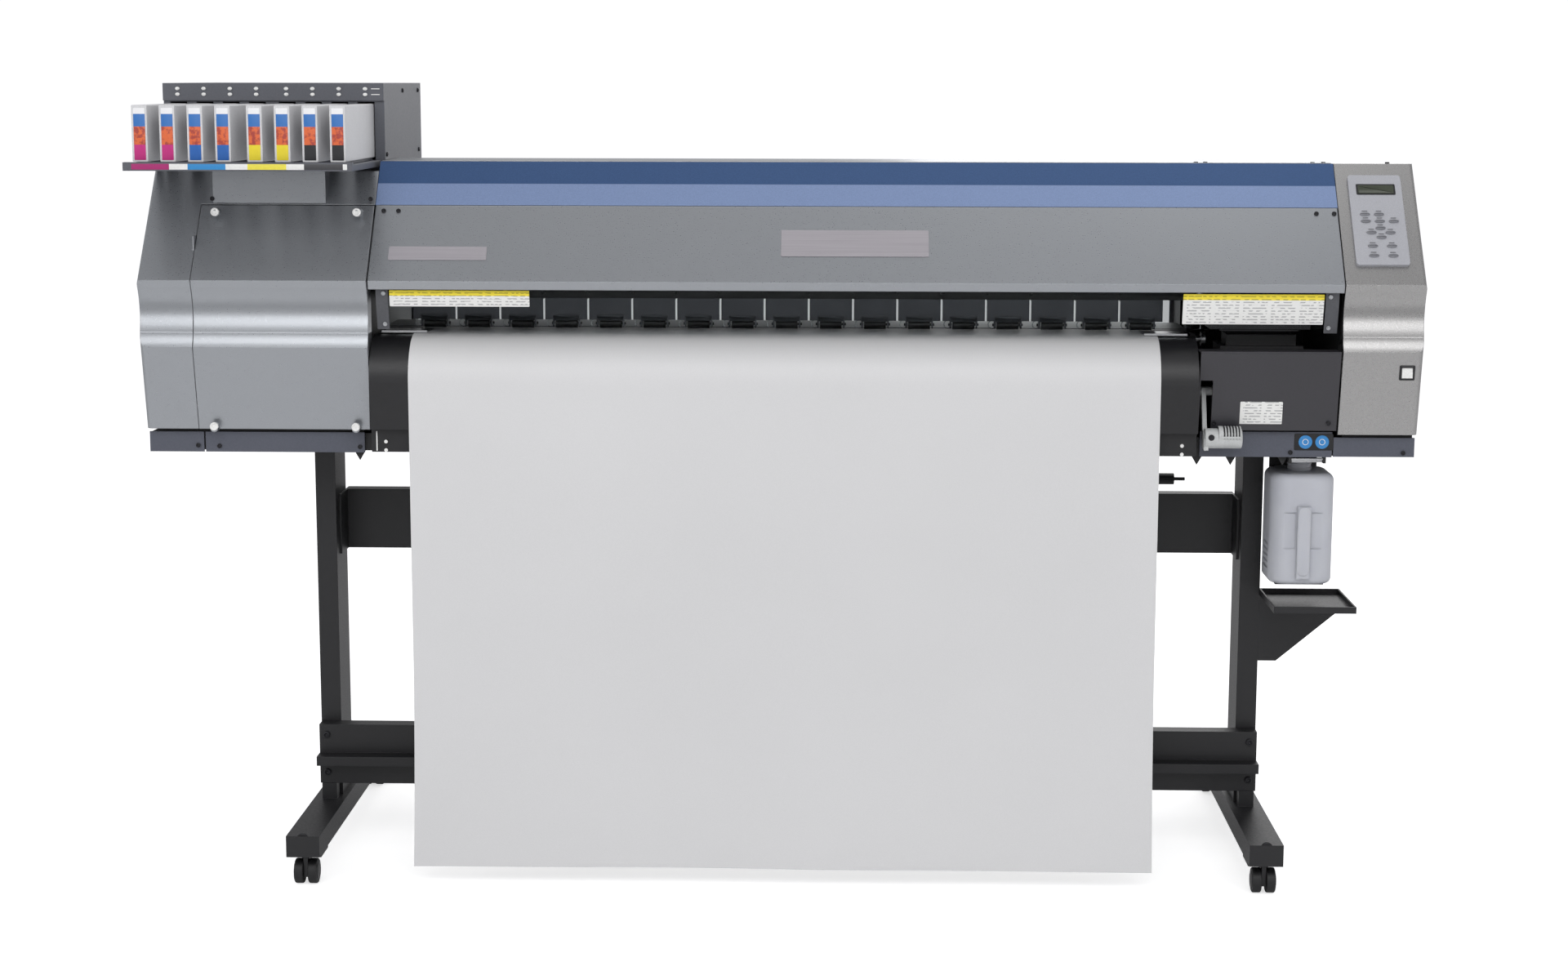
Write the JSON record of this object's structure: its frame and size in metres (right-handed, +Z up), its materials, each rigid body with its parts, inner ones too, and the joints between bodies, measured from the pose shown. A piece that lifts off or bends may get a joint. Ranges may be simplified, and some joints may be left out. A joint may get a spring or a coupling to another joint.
{
  "type": "wide-format printer cutter",
  "caption": "Wide-format roll-fed printer cutter on a castored stand, with front cover, ink station, pinch rollers, carriage with blade, waste tank and media roll.",
  "frame": {"origin": "on the floor, under the middle of the bounding box", "axes": "+X to the right seen from the front, +Y to the rear, +Z up"},
  "size_m": [2.3, 0.754, 1.452],
  "materials": {
    "cover_grey": "metallic grey moulded cover",
    "cover_warm": "warm grey moulded cover",
    "band_blue": "two-tone blue trim",
    "slate": "slate trim strips",
    "charcoal": "dark textured plastic",
    "stand_black": "black powder coat",
    "chassis_steel": "zinc plated sheet",
    "roller_steel": "ground steel",
    "white_plastic": "white moulded plastic",
    "clear": "clear acrylic strip",
    "sheet_white": "coated vinyl media",
    "tank_white": "translucent blow-moulded plastic",
    "caster_rubber": "black tread",
    "caster_black": "black nylon",
    "belt_rubber": "toothed belt",
    "panel_face": "printed keypad overlay",
    "station_grey": "ink station grey"
  },
  "bodies": {
    "machine": {"base_frame": "chassis_steel", "blue_band": "band_blue", "capping_station": "charcoal", "carriage_belt": "belt_rubber", "cartridge_tray": "station_grey", "drip_tray": "stand_black", "electronics_box": "chassis_steel", "front_paper_guide": "charcoal", "guide_beam": "chassis_steel", "left_side_cover": "cover_grey", "media_sheet": "sheet_white", "operation_panel": "panel_face", "platen": "chassis_steel", "rear_cover": "chassis_steel", "rear_paper_guide": "charcoal", "right_service_cover": "charcoal", "right_side_cover": "cover_warm", "roll_hooks": "chassis_steel", "side_frames": "chassis_steel", "skirt_panels": "slate", "stand_foot_left": "stand_black", "stand_foot_right": "stand_black", "stand_lower_beam": "stand_black", "stand_posts": "stand_black", "stand_upper_beam": "stand_black", "station_housing": "station_grey", "tank_bracket": "stand_black", "top_cover": "cover_grey"},
    "front_cover": {"front_cover": "cover_grey", "front_window": "clear", "window_brackets": "chassis_steel"},
    "media_roll": {"media_roll": "sheet_white", "roll_shaft": "charcoal"},
    "feed_roller": {"feed_roller": "roller_steel"},
    "pinch_arms": {"pinch_arms": "charcoal"},
    "pinch_rollers": {"pinch_rollers": "belt_rubber"},
    "clamp_lever": {"clamp_lever": "white_plastic"},
    "edge_guard_left": {"edge_guard_left": "roller_steel"},
    "edge_guard_right": {"edge_guard_right": "roller_steel"},
    "drive_pulley": {"drive_pulley": "roller_steel"},
    "carriage": {"carriage": "charcoal"},
    "cutter_holder": {"cutter_holder": "roller_steel"},
    "maintenance_cover": {"maintenance_cover": "cover_grey"},
    "power_button": {"power_button": "white_plastic"},
    "waste_tank": {"waste_tank": "tank_white"},
    "tank_stopper": {"tank_stopper": "roller_steel"},
    "ink_cartridge_1": {"ink_cartridge_1": "white_plastic"},
    "ink_cartridge_2": {"ink_cartridge_2": "white_plastic"},
    "ink_cartridge_3": {"ink_cartridge_3": "white_plastic"},
    "ink_cartridge_4": {"ink_cartridge_4": "white_plastic"},
    "ink_cartridge_5": {"ink_cartridge_5": "white_plastic"},
    "ink_cartridge_6": {"ink_cartridge_6": "white_plastic"},
    "ink_cartridge_7": {"ink_cartridge_7": "white_plastic"},
    "ink_cartridge_8": {"ink_cartridge_8": "white_plastic"},
    "caster_fork_front_left": {"caster_fork_front_left": "caster_black"},
    "caster_wheels_front_left": {"caster_wheels_front_left": "caster_rubber"},
    "caster_fork_front_right": {"caster_fork_front_right": "caster_black"},
    "caster_wheels_front_right": {"caster_wheels_front_right": "caster_rubber"},
    "caster_fork_rear_left": {"caster_fork_rear_left": "caster_black"},
    "caster_wheels_rear_left": {"caster_wheels_rear_left": "caster_rubber"},
    "caster_fork_rear_right": {"caster_fork_rear_right": "caster_black"},
    "caster_wheels_rear_right": {"caster_wheels_rear_right": "caster_rubber"}
  },
  "joints": [
    {"name": "swivel_front_left", "type": "hinge", "parent": "machine", "child": "caster_fork_front_left", "pos_m": [-0.862, -0.33, 0.05], "axis": [0, 0, 1], "continuous": true},
    {"name": "roll_front_left", "type": "hinge", "parent": "caster_fork_front_left", "child": "caster_wheels_front_left", "pos_m": [-0.862, -0.342, 0.023], "axis": [1, 0, 0], "continuous": true},
    {"name": "swivel_front_right", "type": "hinge", "parent": "machine", "child": "caster_fork_front_right", "pos_m": [0.886, -0.33, 0.05], "axis": [0, 0, 1], "continuous": true},
    {"name": "roll_front_right", "type": "hinge", "parent": "caster_fork_front_right", "child": "caster_wheels_front_right", "pos_m": [0.886, -0.342, 0.023], "axis": [1, 0, 0], "continuous": true},
    {"name": "swivel_rear_left", "type": "hinge", "parent": "machine", "child": "caster_fork_rear_left", "pos_m": [-0.862, 0.33, 0.05], "axis": [0, 0, 1], "continuous": true},
    {"name": "roll_rear_left", "type": "hinge", "parent": "caster_fork_rear_left", "child": "caster_wheels_rear_left", "pos_m": [-0.862, 0.342, 0.023], "axis": [1, 0, 0], "continuous": true},
    {"name": "swivel_rear_right", "type": "hinge", "parent": "machine", "child": "caster_fork_rear_right", "pos_m": [0.886, 0.33, 0.05], "axis": [0, 0, 1], "continuous": true},
    {"name": "roll_rear_right", "type": "hinge", "parent": "caster_fork_rear_right", "child": "caster_wheels_rear_right", "pos_m": [0.886, 0.342, 0.023], "axis": [1, 0, 0], "continuous": true},
    {"name": "feed_spin", "type": "hinge", "parent": "machine", "child": "feed_roller", "pos_m": [0.012, -0.124, 0.9887], "axis": [1, 0, 0], "continuous": true},
    {"name": "media_roll_spin", "type": "hinge", "parent": "machine", "child": "media_roll", "pos_m": [0.012, 0.2513, 0.67], "axis": [1, 0, 0], "continuous": true},
    {"name": "lever_turn", "type": "hinge", "parent": "machine", "child": "clamp_lever", "pos_m": [0.764, -0.236, 0.905], "axis": [-1, 0, 0], "range_deg": [0, 40]},
    {"name": "arms_lift", "type": "hinge", "parent": "machine", "child": "pinch_arms", "pos_m": [0.012, -0.06, 1.078], "axis": [-1, 0, 0], "range_deg": [0, 6]},
    {"name": "pinch_spin", "type": "hinge", "parent": "pinch_arms", "child": "pinch_rollers", "pos_m": [0.012, -0.124, 1.0133], "axis": [1, 0, 0], "continuous": true},
    {"name": "carriage_slide", "type": "slide", "parent": "machine", "child": "carriage", "axis": [-1, 0, 0], "range_m": [0, 1.46]},
    {"name": "pulley_spin", "type": "hinge", "parent": "machine", "child": "drive_pulley", "pos_m": [0.988, -0.09, 1.205], "axis": [0, 1, 0], "continuous": true},
    {"name": "cutter_drop", "type": "slide", "parent": "carriage", "child": "cutter_holder", "axis": [0, 0, -1], "range_m": [0, 0.006], "stiffness_N_per_m": 300, "springref_m": -0.012},
    {"name": "front_cover_hinge", "type": "hinge", "parent": "machine", "child": "front_cover", "pos_m": [0, -0.20162, 1.22597], "axis": [-1, 0, 0], "range_deg": [0, 60]},
    {"name": "maintenance_cover_off", "type": "slide", "parent": "machine", "child": "maintenance_cover", "axis": [0, -1, 0], "range_m": [0, 0.12]},
    {"name": "power_push", "type": "slide", "parent": "machine", "child": "power_button", "axis": [0, 1, 0], "range_m": [0, 0.002], "stiffness_N_per_m": 800},
    {"name": "cartridge_pull_1", "type": "slide", "parent": "machine", "child": "ink_cartridge_1", "axis": [0, -1, 0], "range_m": [0, 0.1]},
    {"name": "cartridge_pull_2", "type": "slide", "parent": "machine", "child": "ink_cartridge_2", "axis": [0, -1, 0], "range_m": [0, 0.1]},
    {"name": "cartridge_pull_3", "type": "slide", "parent": "machine", "child": "ink_cartridge_3", "axis": [0, -1, 0], "range_m": [0, 0.1]},
    {"name": "cartridge_pull_4", "type": "slide", "parent": "machine", "child": "ink_cartridge_4", "axis": [0, -1, 0], "range_m": [0, 0.1]},
    {"name": "cartridge_pull_5", "type": "slide", "parent": "machine", "child": "ink_cartridge_5", "axis": [0, -1, 0], "range_m": [0, 0.1]},
    {"name": "cartridge_pull_6", "type": "slide", "parent": "machine", "child": "ink_cartridge_6", "axis": [0, -1, 0], "range_m": [0, 0.1]},
    {"name": "cartridge_pull_7", "type": "slide", "parent": "machine", "child": "ink_cartridge_7", "axis": [0, -1, 0], "range_m": [0, 0.1]},
    {"name": "cartridge_pull_8", "type": "slide", "parent": "machine", "child": "ink_cartridge_8", "axis": [0, -1, 0], "range_m": [0, 0.1]},
    {"name": "tank_pull", "type": "slide", "parent": "machine", "child": "waste_tank", "axis": [0, -1, 0], "range_m": [0, 0.13]},
    {"name": "stopper_flip", "type": "hinge", "parent": "machine", "child": "tank_stopper", "pos_m": [0.958, -0.246, 0.7835], "axis": [-1, 0, 0], "range_deg": [0, 80]},
    {"name": "guard_left_slide", "type": "slide", "parent": "machine", "child": "edge_guard_left", "axis": [1, 0, 0], "range_m": [0, 0.3]},
    {"name": "guard_right_slide", "type": "slide", "parent": "machine", "child": "edge_guard_right", "axis": [-1, 0, 0], "range_m": [0, 0.3]}
  ],
  "couplings": [
    {"joint": "media_roll_spin", "follows": "feed_spin", "ratio": -0.18667},
    {"joint": "pinch_spin", "follows": "feed_spin", "ratio": -1.5556},
    {"joint": "arms_lift", "follows": "lever_turn", "ratio": 0.15},
    {"joint": "pulley_spin", "follows": "carriage_slide", "rad_per_m": 52.632}
  ]
}
